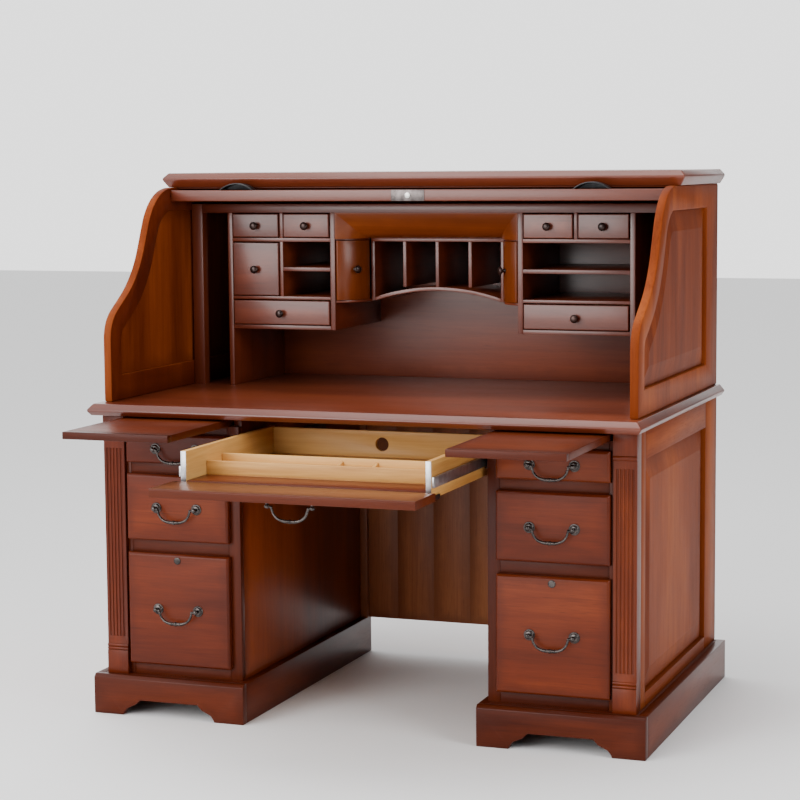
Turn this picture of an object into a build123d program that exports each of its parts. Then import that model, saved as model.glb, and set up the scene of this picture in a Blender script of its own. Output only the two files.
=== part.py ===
from build123d import *
from math import cos, pi, radians, sin
import os

# Roll top desk, double pedestal. Millimetres, +Z up, drawers open towards -Y.
# Heights are above the floor. Depths are measured back from the case front,
# and every node is moved by case_front when it is saved, so that the origin
# is under the middle of the whole desk.

os.makedirs("parts", exist_ok=True)

case_front = -185.0

# overall
case_half = 666.0            # outer faces of the pedestals and the hutch
side_thick = 21.0
inner_half = case_half - side_thick
knee_half = 311.0            # half of the kneehole's width
back_y = 834.0
back_thick = 18.0
plinth_top = 97.6
case_top = 737.6
desk_top = 766.0
hutch_top = 1280.0
total_height = 1316.6

# plinths
plinth_front = -22.9
plinth_outer = 693.7
plinth_inner = 293.5
plinth_board = 22.0

# pedestal fronts
frame_y = 15.0               # front of the face frame
frame_thick = 19.0
drawer_centre = 470.0
front_half = 134.5           # half width of a drawer front
lap = 6.0                    # how far a drawer front covers the frame
file_z = (126.0, 402.0)
middle_z = (433.0, 595.0)
top_z = (622.0, 694.0)
slide_z = (716.0, 733.0)     # writing slide
box_back = 620.0
box_wall = 12.0

# keyboard drawer, drawn pulled out
tray_half = 297.0
tray_wall = 13.0
tray_z = (620.0, 702.0)
tray_y = (-328.5, 170.0)
flap_axis_y = -350.0
flap_axis_z = 620.0
flap_y = (-465.0, -335.0)
flap_z = (617.0, 636.0)
flap_half = 309.0

# gallery
gallery_y = 472.0
gallery_back = 800.0
rack_y = 565.0
gallery_z = (914.0, 1236.0)
cabinet_half = (243.6, 541.5)
divider = 13.0

# rolling curtain
curl_y = 363.0               # middle of the bend at the front
curl_z = 1127.5
curl_radius = 134.5
slat_pitch = 25.0
curtain_half = 643.5
rail_top = 1273.0

# hardware
pull_half = 53.0             # half the distance between a pull's posts
post_height = 16.0
wire_radius = 2.0
pin_radius = 1.5
pin_fit = 0.04


def save(name, *pieces):
    moved = Location((0, case_front, 0))
    solids = [solid.moved(moved) for piece in pieces for solid in piece.solids()]
    node = Compound(solids)
    node.label = name
    export_step(node, f"parts/{name}.step")


def board(x, y, z):
    with BuildPart() as piece:
        with Locations(((x[0] + x[1]) / 2, (y[0] + y[1]) / 2, (z[0] + z[1]) / 2)):
            Box(abs(x[1] - x[0]), abs(y[1] - y[0]), abs(z[1] - z[0]))
    return piece.part


def sided(s, x, y, z):
    # a board given by its distances from the middle, on the left or the right
    return board((s * x[0], s * x[1]), y, z)


def slab(x, y, z, low, high):
    # a top with its lower and upper edges bevelled at the front and the ends,
    # each by a distance across and a distance up or down
    with BuildPart() as piece:
        with Locations(((x[0] + x[1]) / 2, (y[0] + y[1]) / 2, (z[0] + z[1]) / 2)):
            Box(x[1] - x[0], y[1] - y[0], z[1] - z[0])
        for place, size in ((-1, high), (0, low)):
            flat = piece.faces().sort_by(Axis.Z)[place]
            ends = flat.edges().filter_by(Axis.Y)
            front = flat.edges().filter_by(Axis.X).sort_by(Axis.Y)[0]
            chamfer(ends + [front], size[0], size[1], reference=flat)
    return piece.part


def rod(centre, radius, length, direction):
    with BuildPart(Plane(origin=centre, z_dir=direction)) as piece:
        Cylinder(radius, length)
    return piece.part


# ---------------------------------------------------------------- plinths

def plinth_front_board(middle):
    half = (plinth_outer - plinth_inner) / 2
    with BuildPart() as piece:
        with BuildSketch(Plane.XZ.offset(-plinth_front)) as outline:
            with BuildLine():
                Polyline((-78, 39), (-89, 27), (-106, 19))
                ThreePointArc((-106, 19), (-117, 11), (-122, 0))
                Polyline((-122, 0), (-half, 0), (-half, plinth_top), (half, plinth_top))
                Polyline((half, plinth_top), (half, 0), (122, 0))
                ThreePointArc((122, 0), (117, 11), (106, 19))
                Polyline((106, 19), (89, 27), (78, 39), (-78, 39))
            make_face()
        extrude(amount=-plinth_board)
        rim = piece.faces().sort_by(Axis.Z)[-1].edges().filter_by(Axis.X)
        chamfer(rim.sort_by(Axis.Y)[0], 8)
    return piece.part.moved(Location((middle, 0, 0)))


def plinth(side, s):
    y = (plinth_front + plinth_board, back_y)
    z = (0, plinth_top)
    outer = sided(s, (plinth_outer - plinth_board, plinth_outer), y, z)
    inner = sided(s, (plinth_inner, plinth_inner + plinth_board), y, z)
    inside = (plinth_inner + plinth_board, plinth_outer - plinth_board)
    rear = sided(s, inside, (back_y - plinth_board, back_y), z)
    floor = sided(s, inside, (y[0], back_y - plinth_board), (plinth_top - 12, plinth_top))
    front = plinth_front_board(s * (plinth_outer + plinth_inner) / 2)
    save(f"{side}_plinth", front, outer, inner, rear, floor)


# ------------------------------------------------------------- pedestals

panel_y = (81.0, 705.0)
panel_z = (130.0, 668.0)
post_depth = 40.0


def outer_side(side, s):
    x = (inner_half, case_half)
    save(f"{side}_outer_side",
         sided(s, x, (post_depth, panel_y[0]), (plinth_top, case_top)),
         sided(s, x, (panel_y[1], back_y), (plinth_top, case_top)),
         sided(s, x, panel_y, (plinth_top, panel_z[0])),
         sided(s, x, panel_y, (panel_z[1], case_top)))


def lower_panel(s):
    with BuildPart() as piece:
        with BuildSketch(Plane.YZ.offset(s * 650)) as outline:
            with Locations(((panel_y[0] + panel_y[1]) / 2, (panel_z[0] + panel_z[1]) / 2)):
                Rectangle(panel_y[1] - panel_y[0], panel_z[1] - panel_z[0])
        extrude(amount=s * 13)
        shown = piece.faces().sort_by(lambda face: s * face.center().X)[-1]
        chamfer(shown.edges(), 50, 9, reference=shown)
    return piece.part


def inner_side(side, s):
    y = (frame_y + frame_thick, back_y)
    save(f"{side}_inner_side", sided(s, (knee_half, knee_half + 20), y, (plinth_top, case_top)))


def face_frame(side, s):
    y = (frame_y, frame_y + frame_thick)
    inner = drawer_centre - front_half + lap
    outer = drawer_centre + front_half - lap
    ledge = slide_z[0] - 0.3
    pieces = [sided(s, (knee_half, inner), y, (plinth_top, ledge)),
              sided(s, (outer, 611), y, (plinth_top, ledge)),
              sided(s, (knee_half, 333), y, (ledge, case_top)),
              sided(s, (605.5, 611), y, (ledge, case_top))]
    rails = ((plinth_top, file_z[0] + lap), (file_z[1] - lap, middle_z[0] + lap),
             (middle_z[1] - lap, top_z[0] + lap), (top_z[1] - lap, ledge))
    pieces += [sided(s, (inner, outer), y, z) for z in rails]
    save(f"{side}_face_frame", *pieces)


def pilaster(side, s):
    # block, two beads, fluted shaft, one bead, block
    middle = s * (611 + case_half) / 2
    width = case_half - 611
    flute_z = (190.0, 655.0)
    with BuildPart() as piece:
        with BuildSketch(Plane.YZ.offset(middle - width / 2)):
            with BuildLine():
                Polyline((post_depth, plinth_top), (0, plinth_top), (0, 155), (3, 155))
                ThreePointArc((3, 155), (0, 159), (3, 163))
                ThreePointArc((3, 163), (0, 167), (3, 171))
                Line((3, 171), (3, 673))
                ThreePointArc((3, 673), (-1, 679), (3, 685))
                Polyline((3, 685), (0, 685), (0, case_top), (post_depth, case_top),
                         (post_depth, plinth_top))
            make_face()
        extrude(amount=width)
        for offset in (-18, -9, 0, 9, 18):
            with Locations((middle + offset, 3, (flute_z[0] + flute_z[1]) / 2)):
                Cylinder(3, flute_z[1] - flute_z[0], mode=Mode.SUBTRACT)
    save(f"{side}_pilaster", piece.part)


def pedestal_backs():
    y = (back_y - back_thick, back_y)
    z = (plinth_top, case_top)
    # stops short of the side boards that stand at each end
    save("pedestal_backs", *[sided(s, (knee_half + 20, inner_half), y, z) for s in (-1, 1)])


def drawer_runners():
    pieces = []
    for s in (-1, 1):
        for z in (file_z, middle_z, top_z):
            base = z[0] + lap + 2
            for x in ((knee_half + 20, 357), (582, inner_half)):
                pieces.append(sided(s, x, (post_depth, 800), (base - 16, base - 0.3)))
        ledge = slide_z[0] - 0.3
        for x in ((knee_half + 20, 350), (590, inner_half)):
            pieces.append(sided(s, x, (post_depth, 800), (ledge - 16, ledge)))
    save("drawer_runners", *pieces)


def modesty_panel():
    y = (back_y - back_thick, back_y - 6)
    z = (plinth_top, case_top)
    count = 6
    width = 2 * knee_half / count
    planks = [board((-knee_half + i * width, -knee_half + (i + 1) * width), y, z)
              for i in range(count)]
    sheet = board((-knee_half, knee_half), (back_y - 6, back_y), z)
    posts = [sided(s, (knee_half - 20, knee_half), (back_y - back_thick - 16, y[0]), z)
             for s in (-1, 1)]
    save("modesty_panel", sheet, *planks, *posts)


# ------------------------------------------------------------------ pulls

def posts(place, drop=0):
    # two rosettes, each with a short post whose head is bored for the pull
    pieces = []
    for end in (-pull_half, pull_half):
        with BuildPart() as post:
            with Locations((end, 0, 1)):
                Cylinder(11, 2)
            with Locations((end, 0, post_height / 2)):
                Cylinder(3.2, post_height)
            with Locations((end, 0, post_height)):
                Sphere(5)
            with BuildSketch(Plane.YZ.offset(-pull_half - 10)):
                with Locations((0, post_height)):
                    Circle(wire_radius + pin_fit)
            extrude(amount=2 * pull_half + 20, mode=Mode.SUBTRACT)
        pieces.append(post.part.moved(place.location))
    return pieces


def pull(name, place, hang):
    # one bent wire whose ends turn out into the bores of the two post heads;
    # hang turns it about those bores
    turned = place.location * Location((0, 0, post_height)) * Location((0, 0, 0), (hang, 0, 0))
    inner = pull_half - 8
    with BuildPart() as bail:
        with BuildLine() as path:
            FilletPolyline((-pull_half - 2, 0), (-inner, 0), (-inner + 7, -24), (-16, -32),
                           (16, -32), (inner - 7, -24), (inner, 0), (pull_half + 2, 0), radius=3.5)
        with BuildSketch(Plane.YZ.offset(-pull_half - 2)):
            Circle(wire_radius)
        sweep()
    save(name, bail.part.moved(turned))


# --------------------------------------------------------- pedestal drawers

def drawer_box(s, x, y, z, base=6):
    # two sides, a back and a bottom
    return [sided(s, (x[0], x[0] + box_wall), y, z),
            sided(s, (x[1] - box_wall, x[1]), y, z),
            sided(s, (x[0] + box_wall, x[1] - box_wall), (y[1] - box_wall, y[1]), z),
            sided(s, (x[0] + box_wall, x[1] - box_wall), (y[0], y[1] - box_wall),
                  (z[0] + 6, z[0] + 6 + base))]


def drawer_front(middle, half, y, z, edge):
    with BuildPart() as piece:
        with Locations((middle, (y[0] + y[1]) / 2, (z[0] + z[1]) / 2)):
            Box(2 * half, y[1] - y[0], z[1] - z[0])
        chamfer(piece.faces().sort_by(Axis.Y)[0].edges(), edge)
    return piece.part


def pedestal_drawer(name, s, z, pull_z, lock_z=None):
    middle = s * drawer_centre
    face = frame_y - 19
    front = drawer_front(middle, front_half, (face, frame_y), z, 5)
    box_z = (z[0] + lap + 2, z[1] - lap - 8)
    box = drawer_box(s, (345, 594), (frame_y, box_back), box_z)
    place = Plane(origin=(middle, face, pull_z), x_dir=(1, 0, 0), z_dir=(0, -1, 0))
    extras = posts(place)
    if lock_z:
        extras.append(rod((middle, face - 1.5, lock_z), 8, 3, (0, 1, 0)))
    save(name, front, *box, *extras)
    pull(f"{name}_pull", place, 0)


# --------------------------------------------------------- writing slides

def writing_slide(side, s, front):
    tongue = sided(s, (335, 603), (front + 20, front + 520), slide_z)
    lip = sided(s, (335, 603), (front, front + 20), slide_z)
    save(f"{side}_writing_slide", lip, tongue)


# -------------------------------------------------------- keyboard drawer

def keyboard_drawer():
    inner = tray_half - tray_wall
    sides = [sided(s, (inner, tray_half), tray_y, tray_z) for s in (-1, 1)]
    shelf_y = -223.0
    lip = board((-inner, inner), (tray_y[0] + 2.5, shelf_y), (622, 636))
    floor = board((-inner, inner), (shelf_y, 158), (630, 637))
    with BuildPart() as back:
        with Locations((0, 164, 668)):
            Box(2 * inner, 12, 64)
        with Locations(Location((0, 164, 668), (90, 0, 0))):
            Hole(16.5)
    save("keyboard_drawer", *sides, lip, floor, back.part)


def pencil_tray():
    inner = tray_half - tray_wall - 0.5
    front = board((-inner, inner), (-223, -215), (637, 668))
    floor = board((-inner, inner), (-215, -140), (637, 644))
    rear = board((-inner, inner), (-140, -130), (637, 674))
    ridges = []
    for x in (15.0, 100.0):
        with BuildPart() as ridge:
            with BuildSketch(Plane.YZ.offset(x - 4)):
                with BuildLine():
                    Polyline((-140, 668), (-140, 644), (-215, 644), (-215, 666))
                    ThreePointArc((-215, 666), (-177, 658), (-140, 668))
                make_face()
            extrude(amount=8)
        ridges.append(ridge.part)
    save("pencil_tray", front, floor, rear, *ridges)


def keyboard_slides():
    moving = []
    fixed = []
    for s in (-1, 1):
        moving.append(sided(s, (tray_half, 302.5), (-326, 170), (644, 667.5)))
        y = (20, 560)
        fixed.append(sided(s, (309, knee_half), y, (641, 670.5)))
        fixed.append(sided(s, (303.5, 309), y, (641, 643.4)))
        fixed.append(sided(s, (303.5, 309), y, (668.1, 670.5)))
    save("keyboard_slides_inner", *moving)
    save("keyboard_slides_outer", *fixed)


def drop_front():
    with BuildPart() as panel:
        with Locations((0, (flap_y[0] + flap_y[1]) / 2, (flap_z[0] + flap_z[1]) / 2)):
            Box(2 * flap_half, flap_y[1] - flap_y[0], flap_z[1] - flap_z[0])
        long_edges = panel.edges().filter_by(Axis.X)
        fillet(long_edges.sort_by(lambda e: e.center().Z + e.center().Y)[-1], 8)
        fillet(panel.edges().filter_by(Axis.X).sort_by(
            lambda e: e.center().Z - e.center().Y)[-1], 4)
        for s in (-1, 1):
            with Locations((s * (tray_half + 1.5), -345, flap_z[0] + 10)):
                Box(3.8, 28, 40, mode=Mode.SUBTRACT)
            with Locations(Location((s * (tray_half + 1), flap_axis_y, flap_axis_z), (0, 90, 0))):
                Cylinder(pin_radius + pin_fit, 16, mode=Mode.SUBTRACT)
    face = Plane(origin=(0, -407, flap_z[0]), x_dir=(1, 0, 0), z_dir=(0, 0, -1))
    save("drop_front", panel.part, *posts(face))
    pull("drop_front_pull", face, -90)


def drop_front_hinges():
    # a pivot plate screwed to each side of the drawer, with a pin through the flap
    pieces = []
    for s in (-1, 1):
        with BuildPart() as plate:
            x = s * (tray_half + 1.5)
            with Locations((x, flap_axis_y + 35, flap_axis_z + 1)):
                Box(3, 70, 10)
            with Locations(Location((x, flap_axis_y, flap_axis_z), (0, 90, 0))):
                Cylinder(6, 3)
                Cylinder(pin_radius, 15)
            with Locations((s * (tray_half - 2), flap_axis_y + 35, flap_axis_z + 1)):
                Box(4.0, 200, 40, mode=Mode.SUBTRACT)
            with Locations(Location((x, flap_axis_y, flap_axis_z), (0, 90, 0))):
                Cylinder(pin_radius, 15)
        pieces.append(plate.part)
    save("drop_front_hinges", *pieces)


# -------------------------------------------------------- hutch and tops

def side_outline():
    # The upright turns back over itself in three bends: out, in and level.
    points = side_points()
    with BuildLine() as line:
        Line(points[0], points[1])
        ThreePointArc(points[1], points[2], points[3])
        Line(points[3], points[4])
        ThreePointArc(points[4], points[5], points[6])
        Line(points[6], points[7])
        ThreePointArc(points[7], points[8], points[9])
        Polyline(points[9], (back_y, hutch_top), (back_y, desk_top), points[0])
    return line


def turn(start, heading, radius, angle):
    # point on an arc that starts along heading (degrees from +Z towards +Y);
    # a positive angle bends the front edge backwards
    a = radians(heading)
    b = radians(heading + angle)
    side = radius if angle > 0 else -radius
    y = start[0] + side * (cos(a) - cos(b))
    z = start[1] + side * (sin(b) - sin(a))
    return (y, z)


def side_points():
    heading = 0.0
    points = [(11.0, desk_top), (11.0, 916.0)]
    for radius, angle, run in ((84, 57, 62), (265, -32, 68), (152, 65, 0)):
        start = points[-1]
        points.append(turn(start, heading, radius, angle / 2))
        points.append(turn(start, heading, radius, angle))
        heading += angle
        if run:
            end = points[-1]
            points.append((end[0] + run * sin(radians(heading)),
                           end[1] + run * cos(radians(heading))))
    return points


def hutch_side_face(plane):
    with BuildSketch(plane) as face:
        with BuildLine():
            add(side_outline().line)
        make_face()
    return face.sketch


def panel_opening(plane, inset):
    # follows the front edge at a constant distance, square at the back
    border = 57.0 + inset
    with BuildSketch(plane) as face:
        with BuildLine():
            add(side_outline().line)
        make_face()
        offset(amount=-border, mode=Mode.REPLACE)
        with Locations(((11 + 705 - inset) / 2, (828 + 1221) / 2)):
            Rectangle(705 - inset - 11, 1221 - 828 - 2 * inset, mode=Mode.INTERSECT)
    return face.sketch


def hutch_side(side, s):
    plane = Plane.YZ.offset(s * inner_half)
    with BuildPart() as frame:
        extrude(hutch_side_face(plane), amount=s * side_thick)
        extrude(panel_opening(plane, 0), amount=s * side_thick, mode=Mode.SUBTRACT)
    save(f"{side}_hutch_side", frame.part)


def upper_panel(s):
    with BuildPart() as piece:
        extrude(panel_opening(Plane.YZ.offset(s * 650), 0), amount=s * 5)
        extrude(panel_opening(Plane.YZ.offset(s * 655), 48), amount=s * 8)
    return piece.part


def tops():
    save("desktop", slab((-686, 686), (-43.8, back_y + 1), (case_top, desk_top), (8, 10), (12, 14)))
    save("top_board", slab((-683, 683), (381.8, back_y + 1), (hutch_top, total_height),
                           (12, 19), (12, 13)))
    save("hutch_back", board((-inner_half, inner_half), (back_y - back_thick, back_y),
                             (desk_top, hutch_top)))
    save("top_rail", board((-inner_half, inner_half), (397, 420), (1276.5, hutch_top)))


# ---------------------------------------------------------------- gallery

shelf_levels = ((914.0, 924.5), (991.0, 999.0), (1064.0, 1074.0), (1139.6, 1149.0))
top_strip = (1213.7, 1236.0)


def gallery_case():
    inner, outer = cabinet_half
    y = (gallery_y, gallery_back)
    bay = (inner + divider, outer - divider)
    pieces = [board((-614, 614), y, top_strip),
              board((-614, 614), (gallery_back, gallery_back + 8), (desk_top, top_strip[1]))]
    for s in (-1, 1):
        pieces.append(sided(s, (614, inner_half - 1), (gallery_y, gallery_y + 30),
                            (desk_top, top_strip[1])))
        pieces.append(sided(s, (outer - divider, outer), y, (desk_top, top_strip[0])))
        pieces.append(sided(s, (inner, inner + divider), y, (gallery_z[0], top_strip[0])))
        pieces.append(sided(s, bay, y, shelf_levels[0]))
        pieces.append(sided(s, bay, y, shelf_levels[1]))
        pieces.append(sided(s, bay, y, shelf_levels[3]))
        pieces.append(sided(s, (387, 396), y, (shelf_levels[3][1], top_strip[0])))
    # left cabinet: a tall drawer beside two pigeonholes
    pieces.append(sided(-1, (387, 396), y, (shelf_levels[1][1], shelf_levels[3][0])))
    pieces.append(sided(-1, (bay[0], 387), y, shelf_levels[2]))
    # right cabinet: two open shelves
    pieces.append(sided(1, bay, y, shelf_levels[2]))
    save("gallery_case", *pieces)


def letter_rack():
    z = (1012.0, 1138.2)
    y = (rack_y, gallery_back)
    pieces = [board((-180, 180), y, (z[1], 1147.0)),
              sided(-1, (170, 180), y, (986, z[1])),
              sided(1, (170, 180), y, (986, z[1]))]
    for x in (-88.3, 0.0, 88.3):
        pieces.append(board((x - 4.5, x + 4.5), y, (1022, z[1])))
    with BuildPart() as arch:
        with BuildSketch(Plane.XZ.offset(-rack_y)):
            with BuildLine():
                ThreePointArc((-170, 986), (0, 1013), (170, 986))
                Line((170, 986), (170, 995))
                ThreePointArc((170, 995), (0, 1022), (-170, 995))
                Line((-170, 995), (-170, 986))
            make_face()
        extrude(amount=-(gallery_back - rack_y))
    # curved ends of the bay, under and over the quarter-round doors
    for s in (-1, 1):
        for level in ((984, 990), (1143, 1147)):
            with BuildPart() as plate:
                with BuildSketch(Plane.XY.offset(level[0])):
                    with BuildLine():
                        Polyline((s * 181, rack_y - 2), (s * 181, gallery_back), (s * 243, gallery_back),
                                 (s * 243, gallery_y + 4))
                        ThreePointArc((s * 243, gallery_y + 4), (s * 201, 510), (s * 181, rack_y - 2))
                    make_face()
                extrude(amount=level[1] - level[0])
            pieces.append(plate.part)
    save("letter_rack", *pieces, arch.part)


def frieze_moulding():
    # rounded forwards, and its ends rounded in plan, both like the doors below it
    inner = cabinet_half[0] - 0.5
    z = (1147.0, top_strip[0])
    with BuildPart() as piece:
        with BuildSketch(Plane.XY.offset(z[0])):
            with BuildLine():
                ThreePointArc((-inner, gallery_y), (-200, 503), (-180, rack_y))
                Line((-180, rack_y), (180, rack_y))
                ThreePointArc((180, rack_y), (200, 503), (inner, gallery_y))
                Polyline((inner, gallery_y), (inner, 620), (-inner, 620), (-inner, gallery_y))
            make_face()
        extrude(amount=z[1] - z[0])
        with BuildSketch(Plane.YZ.offset(-inner)):
            with BuildLine():
                Line((gallery_y, z[1]), (rack_y + 10, z[1]))
                Line((rack_y + 10, z[1]), (rack_y + 10, z[0]))
                Line((rack_y + 10, z[0]), (rack_y, z[0]))
                ThreePointArc((rack_y, z[0]), (503, z[1] - 43), (gallery_y, z[1]))
            make_face()
        extrude(amount=2 * inner)
    save("frieze_moulding", piece.part)


def knob(centre, turned=0):
    # small mushroom knob, pointing forwards before it is turned about the vertical
    with BuildPart() as piece:
        with BuildSketch(Plane.XZ):
            with BuildLine():
                Polyline((0, 0), (5, 0), (4, 6), (9.5, 9.5))
                ThreePointArc((9.5, 9.5), (8.5, 15), (3, 18))
                Polyline((3, 18), (0, 18), (0, 0))
            make_face()
        revolve(axis=Axis.Z)
    return piece.part.moved(Location(centre, (0, 0, turned)) * Location((0, 0, 0), (90, 0, 0)))


def gallery_drawer(name, s, x, z, back, knob_z):
    face = gallery_y - 4
    middle = (x[0] + x[1]) / 2
    front = drawer_front(s * middle, (x[1] - x[0]) / 2, (face, face + 12), z, 1.5)
    box_z = (z[0] + 1, z[1] - 5)
    inset = 3.0
    y = (face + 12, back)
    wall = 7.0
    box = [sided(s, (x[0] + inset, x[0] + inset + wall), y, box_z),
           sided(s, (x[1] - inset - wall, x[1] - inset), y, box_z),
           sided(s, (x[0] + inset + wall, x[1] - inset - wall), (back - wall, back), box_z),
           sided(s, (x[0] + inset + wall, x[1] - inset - wall), (y[0], back - wall),
                 (box_z[0], box_z[0] + 4))]
    save(name, front, *box, knob((s * middle, face, knob_z)))


def gallery_drawers():
    small_z = (shelf_levels[3][1] + 2, top_strip[0] - 3)
    wide_z = (shelf_levels[0][1] + 2, shelf_levels[1][0] - 3)
    tall_z = (shelf_levels[1][1] + 2, shelf_levels[3][0] - 3)
    outer_x = (398.5, 526.0)
    inner_x = (259.0, 384.5)
    wide_x = (259.0, 526.0)
    for side, s in (("left", -1), ("right", 1)):
        gallery_drawer(f"{side}_outer_small_drawer", s, outer_x, small_z, 720, 1180)
        gallery_drawer(f"{side}_inner_small_drawer", s, inner_x, small_z, 720, 1180)
        gallery_drawer(f"{side}_wide_drawer", s, wide_x, wide_z, 720, 955)
    gallery_drawer("left_tall_drawer", -1, outer_x, tall_z, 720, 1068)


def curved_door(side, s):
    # quarter-round door hinged on its outer front corner
    z = (991.0, 1142.0)
    hinge = (s * 237.0, gallery_y + 7)
    outer = ((s * 237.0, gallery_y + 1.5), (s * 200.0, 505.0), (s * 182.5, 560.0))
    inner = ((s * 191.5, 560.0), (s * 206.0, 513.0), (s * 237.0, gallery_y + 12.5))
    with BuildPart() as door:
        with BuildSketch(Plane.XY.offset(z[0])):
            with BuildLine():
                ThreePointArc(*outer)
                Line(outer[2], inner[0])
                ThreePointArc(*inner)
                ThreePointArc(inner[2], (s * 242.5, gallery_y + 7), outer[0])
            make_face()
        extrude(amount=z[1] - z[0])
        with Locations((hinge[0], hinge[1], (z[0] + z[1]) / 2)):
            Cylinder(pin_radius, z[1] - z[0] + 1.6)
    grip = knob((s * 200.5, 504.0, 1069), s * -55)
    save(f"{side}_curved_door", door.part, grip)


# ---------------------------------------------------------------- curtain

def lift_rail():
    with BuildPart() as rail:
        with BuildSketch(Plane.YZ.offset(-curtain_half)):
            with BuildLine():
                Polyline((350, 1245), (350, rail_top), (380, rail_top), (383, 1265.5), (412, 1265.5),
                         (412, 1256), (383, 1256), (380, 1245), close=True)
            make_face()
        extrude(amount=2 * curtain_half)
    save("lift_rail", rail.part)


def rail_lock():
    plate = board((-43, 43), (348.5, 350), (1245.5, 1272.5))
    barrel = rod((0, 347.5, 1259), 7, 2, (0, 1, 0))
    save("rail_lock", plate, barrel)


def arch(middle, half, rise, depth):
    # a low rounded block standing on the lift rail, its back at the given depth
    with BuildPart() as piece:
        with BuildSketch(Plane.XZ.offset(-depth[1])):
            with BuildLine():
                Line((middle - half, rail_top), (middle + half, rail_top))
                ThreePointArc((middle + half, rail_top), (middle, rail_top + rise),
                              (middle - half, rail_top))
            make_face()
        extrude(amount=depth[1] - depth[0])
    return piece.part


def cup_pulls():
    cups = [arch(x, 46, 17.5, (351, 379)) - arch(x, 42, 14.5, (351, 376))
            for x in (-463.0, 463.0)]
    save("cup_pulls", *cups)


def slat(middle):
    # flat beneath where the canvas is glued, rounded on the show side
    half = slat_pitch / 2 - 0.6
    with BuildPart() as piece:
        with BuildSketch(Plane.YZ.offset(-curtain_half)):
            with BuildLine():
                Polyline((middle - half, 1261), (middle - half, 1257), (middle + half, 1257),
                         (middle + half, 1261))
                ThreePointArc((middle + half, 1261), (middle, 1267), (middle - half, 1261))
            make_face()
        extrude(amount=2 * curtain_half)
    return piece.part


def curtain():
    first = 437.5
    for i in range(3):
        save(f"tambour_slat_{i + 1}", slat(first + i * slat_pitch))
    stored = [slat(first + i * slat_pitch) for i in range(3, 11)]
    save("tambour_stored_slats", *stored)


def desk():
    for side, s in (("left", -1), ("right", 1)):
        plinth(side, s)
        outer_side(side, s)
        inner_side(side, s)
        face_frame(side, s)
        pilaster(side, s)
        hutch_side(side, s)
        pedestal_drawer(f"{side}_file_drawer", s, file_z, 266, 386.5)
        pedestal_drawer(f"{side}_middle_drawer", s, middle_z, 514)
        pedestal_drawer(f"{side}_top_drawer", s, top_z, 658)
        curved_door(side, s)
    save("raised_panels", *[make(s) for make in (lower_panel, upper_panel) for s in (-1, 1)])
    writing_slide("left", -1, -315)
    writing_slide("right", 1, -349)
    pedestal_backs()
    drawer_runners()
    modesty_panel()
    keyboard_drawer()
    pencil_tray()
    keyboard_slides()
    drop_front()
    drop_front_hinges()
    tops()
    gallery_case()
    letter_rack()
    frieze_moulding()
    gallery_drawers()
    lift_rail()
    rail_lock()
    cup_pulls()
    curtain()


desk()
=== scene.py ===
import bmesh
import bpy
from math import cos, pi, radians, sin
from mathutils import Matrix, Vector
from random import Random


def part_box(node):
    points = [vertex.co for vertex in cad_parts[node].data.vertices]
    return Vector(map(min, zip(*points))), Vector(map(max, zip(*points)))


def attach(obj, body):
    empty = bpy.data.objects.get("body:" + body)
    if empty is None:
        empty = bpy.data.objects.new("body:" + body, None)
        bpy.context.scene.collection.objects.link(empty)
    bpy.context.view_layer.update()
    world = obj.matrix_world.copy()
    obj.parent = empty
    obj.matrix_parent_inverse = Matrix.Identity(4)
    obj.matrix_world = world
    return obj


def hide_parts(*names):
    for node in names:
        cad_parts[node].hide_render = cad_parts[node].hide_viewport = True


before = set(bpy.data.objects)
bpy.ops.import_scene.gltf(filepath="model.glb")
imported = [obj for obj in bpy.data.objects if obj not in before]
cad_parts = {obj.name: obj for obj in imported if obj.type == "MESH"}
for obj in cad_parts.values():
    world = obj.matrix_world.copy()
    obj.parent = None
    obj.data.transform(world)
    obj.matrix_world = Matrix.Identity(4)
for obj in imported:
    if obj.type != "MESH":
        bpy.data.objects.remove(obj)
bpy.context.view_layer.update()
print("frame loaded", len(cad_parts), "nodes")


cameraPlace = {
    "spot": (1.842, -4.870, 1.3356),
    "yaw": 20.34,
    "pitch": -6.18,
    "roll": -0.46,
    "lens": 98.1,
    "farthest": 60,
}


def addCamera():
    bpy.ops.object.camera_add(location=cameraPlace["spot"])
    camera = bpy.context.object
    camera.name = "viewCamera"
    turn = Matrix.Rotation(radians(cameraPlace["yaw"]), 4, "Z")
    tilt = Matrix.Rotation(radians(90 + cameraPlace["pitch"]), 4, "X")
    roll = Matrix.Rotation(radians(cameraPlace["roll"]), 4, "Z")
    camera.matrix_world = Matrix.Translation(cameraPlace["spot"]) @ turn @ tilt @ roll
    camera.data.lens = cameraPlace["lens"]
    camera.data.sensor_width = 36
    camera.data.clip_end = cameraPlace["farthest"]
    bpy.context.scene.camera = camera


floorLook = {"size": 40, "drop": 0.0006, "colour": (0.91, 0.91, 0.91, 1), "rough": 0.9}


def addFloor():
    bpy.ops.mesh.primitive_plane_add(size=floorLook["size"], location=(0, 0, -floorLook["drop"]))
    floor = bpy.context.object
    floor.name = "studioFloor"
    look = bpy.data.materials.new("paleFloor")
    look.use_nodes = True
    shader = look.node_tree.nodes["Principled BSDF"]
    shader.inputs["Base Color"].default_value = floorLook["colour"]
    shader.inputs["Roughness"].default_value = floorLook["rough"]
    floor.data.materials.append(look)


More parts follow.
